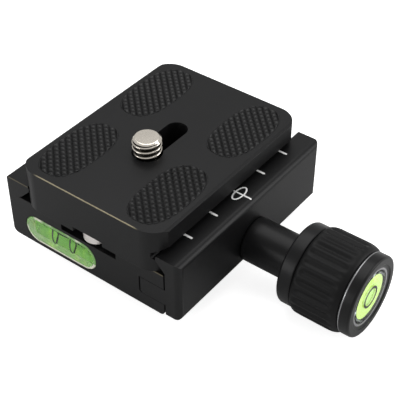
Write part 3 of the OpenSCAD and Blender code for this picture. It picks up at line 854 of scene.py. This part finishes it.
class MakeCameraScrew(bpy.types.Operator):
    """Makes the camera screw with its running thread"""

    bl_idname = "clamp.make_camera_screw"
    bl_label = "Make Camera Screw"

    def execute(self, context):
        pattern = pattern_of(context)
        outer = pattern.thread_diameter / 2
        root = outer - THREAD_DEPTH
        pitch = pattern.thread_pitch
        bottom = plate_high.z + 0.05 * MM
        tip = screw_high.z
        sides = 64
        levels = 72
        bm = joined_copy("camera_screw")
        cut = bmesh.ops.bisect_plane(
            bm, geom=bm.verts[:] + bm.edges[:] + bm.faces[:], plane_co=(0, 0, bottom + 0.03 * MM),
            plane_no=(0, 0, 1), clear_outer=True)
        rim = [e for e in cut["geom_cut"] if isinstance(e, bmesh.types.BMEdge)]
        bmesh.ops.contextual_create(bm, geom=rim)
        height = bm.verts.layers.float.new("thread_height")
        for vert in bm.verts:
            vert[height] = 1.0
        centre = Vector((SCREW_X, SCREW_Y, 0))
        rings = []
        for k in range(levels + 1):
            z = bottom + (tip - bottom) * k / levels
            ring = []
            for i in range(sides):
                angle = 2 * math.pi * i / sides
                rise = thread_height((z - bottom) / pitch - i / sides)
                start = soft_step(z, bottom + 0.1 * MM, bottom + 0.5 * MM)
                rise = max(rise * start, soft_step(z, tip - 0.45 * MM, tip - 0.3 * MM) * 0.9)
                radius = root + (outer - root) * rise
                radius = min(radius, outer - 0.58 * MM + (tip - z) * 1.0)
                vert = bm.verts.new(centre + Vector((radius * math.cos(angle), radius * math.sin(angle), z)))
                # painted shade: thread roots and flanks get a low value here, so the metal colour darkens there
                vert[height] = 0.22 + 0.78 * soft_step(rise, 0.45, 0.9)
                ring.append(vert)
            rings.append(ring)
        inner = [bm.verts.new(v.co.lerp(Vector((SCREW_X, SCREW_Y, tip + 0.02 * MM)), 0.06)) for v in rings[-1]]
        for vert in inner:
            vert[height] = 1.0
        rings.append(inner)
        loft(bm, rings)
        mesh = mesh_from(bm, "camera_screw_threaded")
        smooth(mesh, 42.0)
        material = metal("nickel plated screw", finish_of(context).nickel, 0.15, streak=0.06, shade="thread_height")
        piece_from("threaded_camera_screw", mesh, material, "screw", "nickel", "camera_screw")
        return {"FINISHED"}


def slab(bm, outline, low, high):
    """Flat slab with the given outline in X and Y."""
    loft(bm, [[bm.verts.new((x, y, z)) for x, y in outline] for z in (low, high)])


def rounded_bar(x_from, x_to, y, width):
    """Outline of a short painted line along X with rounded ends."""
    r = width / 2
    points = []
    for centre, start in ((x_to - r, -90), (x_from + r, 90)):
        for k in range(7):
            a = math.radians(start + 30 * k)
            points.append((centre + r * math.cos(a), y + r * math.sin(a)))
    return points


def ellipse(x, half_wide, half_long, steps=48):
    """Outline of an ellipse whose long way is along Y."""
    return [(x + half_wide * math.cos(a), half_long * math.sin(a))
            for a in (2 * math.pi * k / steps for k in range(steps))]


def jaw_edge_drop(x):
    """How far the rounded outer edge of the jaw lies below its top at x."""
    over = max(0.0, x - (jaw_high.x - JAW_EDGE_RADIUS))
    return JAW_EDGE_RADIUS - math.sqrt(JAW_EDGE_RADIUS ** 2 - over ** 2)


def painted_strip(bm, x_from, x_to, width, low, high, steps=10):
    """Painted line along X in the middle of the jaw, which follows the rounded edge."""
    half = width / 2
    rings = []
    for k in range(steps + 1):
        x = x_from + (x_to - x_from) * k / steps
        top = high - jaw_edge_drop(x)
        rings.append([bm.verts.new((x, y, z)) for y, z in ((-half, low), (half, low), (half, top), (-half, top))])
    loft(bm, rings)


class PaintMarks(bpy.types.Operator):
    """Fills the engraved index marks on the jaw with white paint"""

    bl_idname = "clamp.paint_marks"
    bl_label = "Paint Index Marks"

    def execute(self, context):
        pattern = pattern_of(context)
        low = jaw_high.z - 0.15 * MM
        high = jaw_high.z + 0.01 * MM
        lip = jaw_high.x - JAW_LIP_WIDTH
        oval = lip + OVAL_PLACE
        start = lip + MARK_START
        bm = bmesh.new()
        for i in (-2, -1, 1, 2):
            slab(bm, rounded_bar(start, start + MARK_LENGTH, i * pattern.mark_spacing, MARK_WIDTH), low, high)
        for x_from, x_to in ((start, oval - OVAL_OUTSIDE[0]), (oval - OVAL_INSIDE[0], oval + OVAL_INSIDE[0]),
                             (oval + OVAL_OUTSIDE[0], lip + CENTRE_LINE_END)):
            painted_strip(bm, x_from, x_to, CENTRE_LINE_WIDTH, low, high)
        outside = ellipse(oval, *OVAL_OUTSIDE)
        inside = ellipse(oval, *OVAL_INSIDE)
        rings = [[bm.verts.new((x, y, z)) for x, y in line]
                 for line, z in ((outside, low), (outside, high), (inside, high), (inside, low))]
        loft(bm, rings, endless=True)
        mesh = mesh_from(bm, "index_paint")
        material = paint("index white", finish_of(context).mark)
        piece_from("index_mark_paint", mesh, material, "jaw", "anodised")
        return {"FINISHED"}


def window_outline(bm, inset, y, steps=20):
    """Ring of points round the long window of the tube level, set in from its edge."""
    r = (level_high.z - level_low.z) / 2
    z = (level_high.z + level_low.z) / 2
    points = []
    for x, start in ((level_high.x - r, -90), (level_low.x + r, 90)):
        for k in range(steps + 1):
            a = math.radians(start + 180 * k / steps)
            points.append(bm.verts.new((x + (r - inset) * math.cos(a), y, z + (r - inset) * math.sin(a))))
    return points


def rim_with_painted_highlight(name):
    """Moulded rim with a painted highlight: pale where it catches the light, more towards its bottom and in patches,
    and green elsewhere.
    """
    material, tree, shader, place = new_material(name)
    cloud = add(tree, "ShaderNodeTexNoise", Vector=place, Scale=420.0, Detail=2.0)
    parts = add(tree, "ShaderNodeSeparateXYZ", Vector=place)
    # painted highlight: the rim grows paler towards its bottom edge
    low = ramp(tree, parts.outputs["Z"], (level_low.z + level_high.z) / 2, level_low.z, 0.0, 0.3)
    share = ramp(tree, maths(tree, "ADD", cloud.outputs[0], low), 0.5, 0.68)
    tree.links.new(blend_colour(tree, share, (0.2, 0.4, 0.12, 1), (0.78, 0.76, 0.66, 1)), shader.inputs["Base Color"])
    shader.inputs["Roughness"].default_value = 0.3
    return material


class DressLevels(bpy.types.Operator):
    """Gives both levels their clear plastic, liquid and black rings"""

    bl_idname = "clamp.dress_levels"
    bl_label = "Dress Levels"

    def execute(self, context):
        finish = finish_of(context)
        pattern = pattern_of(context)
        block = clear_plastic("level block acrylic", (0.86, 0.95, 0.8), ripple=0.6, ripple_depth=0.09 * MM)
        give(clear_plastic("level plug acrylic", (0.9, 0.97, 0.86), ior=1.04), "level_plug")
        give(clear_plastic("level liquid", (0.62, 0.9, 0.4), ior=1.05), "level_fluid")
        give(glowing_backing("tube level backing", finish.level, 0.5, mottle=0.6), "level_backing")
        give(paint("ring black", (0.01, 0.01, 0.01), 0.4), "level_rings")
        give(clear_plastic("window acrylic", (0.86, 0.95, 0.9), ior=1.25), "bullseye_lens")
        give(glowing_backing("round level liquid", finish.bullseye, 0.45, pattern.ring_radius),
             "bullseye_fluid", "bullseye_backing")
        bm = bmesh.new()
        front = 0.22 * MM
        loft(bm, [window_outline(bm, inset, y) for inset, y in (
            (0.26 * MM, level_low.y), (0.08 * MM, level_low.y + 0.07 * MM), (0.0, level_low.y + front),
            (0.0, level_high.y))])
        mesh = mesh_from(bm, "level_block")
        smooth(mesh, 25.0)
        piece_from("level_block", mesh, block, "clamp", "clear", "level_body")
        bm = bmesh.new()
        rings = [window_outline(bm, inset, level_low.y + deep) for inset, deep in (
            (0.02 * MM, 0.26 * MM), (0.1 * MM, 0.05 * MM), (0.35 * MM, -0.015 * MM), (0.6 * MM, -0.005 * MM),
            (0.6 * MM, 0.1 * MM), (0.2 * MM, 0.26 * MM))]
        loft(bm, rings, endless=True)
        mesh = mesh_from(bm, "level_window_rim")
        smooth(mesh, 50.0)
        piece_from("level_window_rim", mesh, rim_with_painted_highlight("level rim plastic"), "clamp", "clear")
        bm = bmesh.new()
        centre = Vector((lens_high.x, 0, KNOB_AXIS))
        up, across, out = Vector((0, 0, 1)), Vector((0, 1, 0)), Vector((1, 0, 0))
        wide = 0.25 * MM
        sections = ((pattern.ring_radius - wide, 0), (pattern.ring_radius + wide, 0),
                    (pattern.ring_radius + wide, 0.05 * MM), (pattern.ring_radius - wide, 0.05 * MM))
        rings = [add_ring(bm, r, centre + out * x, across, up, 64) for r, x in sections]
        loft(bm, rings, endless=True)
        mesh = mesh_from(bm, "round_level_ring")
        smooth(mesh)
        piece_from("round_level_ring", mesh, bpy.data.materials["ring black"], "knob", "ring_black")
        return {"FINISHED"}


class DressHardware(bpy.types.Operator):
    """Gives the screws, washer, rod, clip and bushing their metals"""

    bl_idname = "clamp.dress_hardware"
    bl_label = "Dress Hardware"

    def execute(self, context):
        finish = finish_of(context)
        give(metal("stop screw steel", (0.84, 0.8, 0.77), 0.45), "stop_screws")
        give(metal("washer steel", (0.6, 0.6, 0.6), 0.35), "screw_washer")
        give(metal("rod steel", (0.55, 0.55, 0.56), 0.3), "clamp_rod")
        give(metal("clip spring steel", (0.2, 0.2, 0.21), 0.35), "retaining_clip")
        give(metal("bushing stainless", finish.nickel, 0.3), "tripod_bushing")
        return {"FINISHED"}


def light_panel(name, place, target, width, height, power):
    """Area lamp aimed at a point."""
    lamp = bpy.data.lights.new(name, "AREA")
    lamp.shape = "RECTANGLE"
    lamp.size = width
    lamp.size_y = height
    lamp.energy = power
    piece = placed(name, lamp)
    piece.location = place
    piece.rotation_euler = (Vector(target) - Vector(place)).to_track_quat("-Z", "Y").to_euler()


def seen_directly(tree):
    """One where the camera looks straight at the white, or through clear plastic."""
    path = tree.nodes.new("ShaderNodeLightPath")
    return maths(tree, "ADD", path.outputs["Is Camera Ray"], path.outputs["Is Transmission Ray"], clamp=True)


def floor_material():
    """Pale floor that shows as white and still takes the object's shadow."""
    material = bpy.data.materials.new("studio floor")
    material.use_nodes = True
    tree = material.node_tree
    tree.nodes.clear()
    out = tree.nodes.new("ShaderNodeOutputMaterial")
    matt = add(tree, "ShaderNodeBsdfDiffuse", Color=(0.72, 0.72, 0.72, 1))
    strength = maths(tree, "MULTIPLY", seen_directly(tree), 0.8)
    glow = add(tree, "ShaderNodeEmission", Color=(1, 1, 1, 1), Strength=strength)
    both = tree.nodes.new("ShaderNodeAddShader")
    tree.links.new(matt.outputs[0], both.inputs[0])
    tree.links.new(glow.outputs[0], both.inputs[1])
    tree.links.new(both.outputs[0], out.inputs["Surface"])
    return material


class BuildStage(bpy.types.Operator):
    """Sets up the floor, the soft lights, the world and the camera"""

    bl_idname = "clamp.build_stage"
    bl_label = "Build Stage"

    def execute(self, context):
        stage = context.scene.clamp_stage
        scene = context.scene
        half = 1.2
        mesh = bpy.data.meshes.new("floor")
        corners = [(-half, -half, 0), (half, -half, 0), (half, half, 0), (-half, half, 0)]
        mesh.from_pydata(corners, [], [(0, 1, 2, 3)])
        mesh.transform(Matrix.Translation((0, 0, min(base_low.z, grip_low.z, frame_box[0][2]) - 0.02 * MM)))
        mesh.materials.append(floor_material())
        placed("floor", mesh)

        light_panel("top softbox", (-0.05, 0.12, 0.42), (0, 0, 0.01), 0.4, 0.4, stage.top_light)
        light_panel("side softbox", (0.42, 0.3, 0.2), (0.01, 0, 0.01), 0.25, 0.35, stage.side_light)
        light_panel("front softbox", (-0.25, -0.42, 0.18), (0, 0, 0.01), 0.3, 0.2, stage.front_light)

        world = bpy.data.worlds.new("studio room")
        world.use_nodes = True
        tree = world.node_tree
        room = tree.nodes["Background"]
        extra = maths(tree, "MULTIPLY", seen_directly(tree), 1 - stage.world_light)
        level = maths(tree, "ADD", extra, stage.world_light)
        room.inputs["Color"].default_value = (1, 1, 1, 1)
        tree.links.new(level, room.inputs["Strength"])
        scene.world = world

        lens = bpy.data.cameras.new("camera")
        lens.sensor_width = 36
        lens.lens = stage.focal_length
        lens.clip_start = 0.01
        lens.clip_end = 20
        eye = placed("camera", lens)
        turn = Matrix.Rotation(stage.camera_azimuth, 4, "Z")
        tilt = Matrix.Rotation(math.pi / 2 - stage.camera_elevation, 4, "X")
        eye.matrix_world = Matrix.Translation(Vector(stage.camera_place)) @ turn @ tilt
        scene.camera = eye
        scene.view_settings.view_transform = "Standard"
        return {"FINISHED"}


class CLAMP_PT_sidebar(bpy.types.Panel):
    """Lists the steps that dress the clamp"""

    bl_idname = "CLAMP_PT_sidebar"
    bl_label = "Quick Release Clamp"
    bl_space_type = "VIEW_3D"
    bl_region_type = "UI"
    bl_category = "Clamp"

    def draw(self, context):
        scene = context.scene
        for title, group in (("Finish", scene.clamp_finish), ("Pattern", scene.clamp_pattern),
                             ("Stage", scene.clamp_stage)):
            box = self.layout.box()
            box.label(text=title)
            for name in group.__annotations__:
                box.prop(group, name)
        for step in STEPS:
            self.layout.operator(step.bl_idname)


STEPS = (DressHousings, MakePads, MakeGrip, MakeCameraScrew, PaintMarks, DressLevels, DressHardware, BuildStage)
GROUPS = (ClampFinish, ClampPattern, ClampStage)


def register():
    for group in GROUPS + STEPS + (CLAMP_PT_sidebar,):
        bpy.utils.register_class(group)
    bpy.types.Scene.clamp_finish = PointerProperty(type=ClampFinish)
    bpy.types.Scene.clamp_pattern = PointerProperty(type=ClampPattern)
    bpy.types.Scene.clamp_stage = PointerProperty(type=ClampStage)


def unregister():
    del bpy.types.Scene.clamp_finish
    del bpy.types.Scene.clamp_pattern
    del bpy.types.Scene.clamp_stage
    for group in reversed(GROUPS + STEPS + (CLAMP_PT_sidebar,)):
        bpy.utils.unregister_class(group)


def main():
    register()
    for step in STEPS:
        area, name = step.bl_idname.split(".")
        getattr(getattr(bpy.ops, area), name)()
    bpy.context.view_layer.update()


if __name__ == "__main__":
    main()
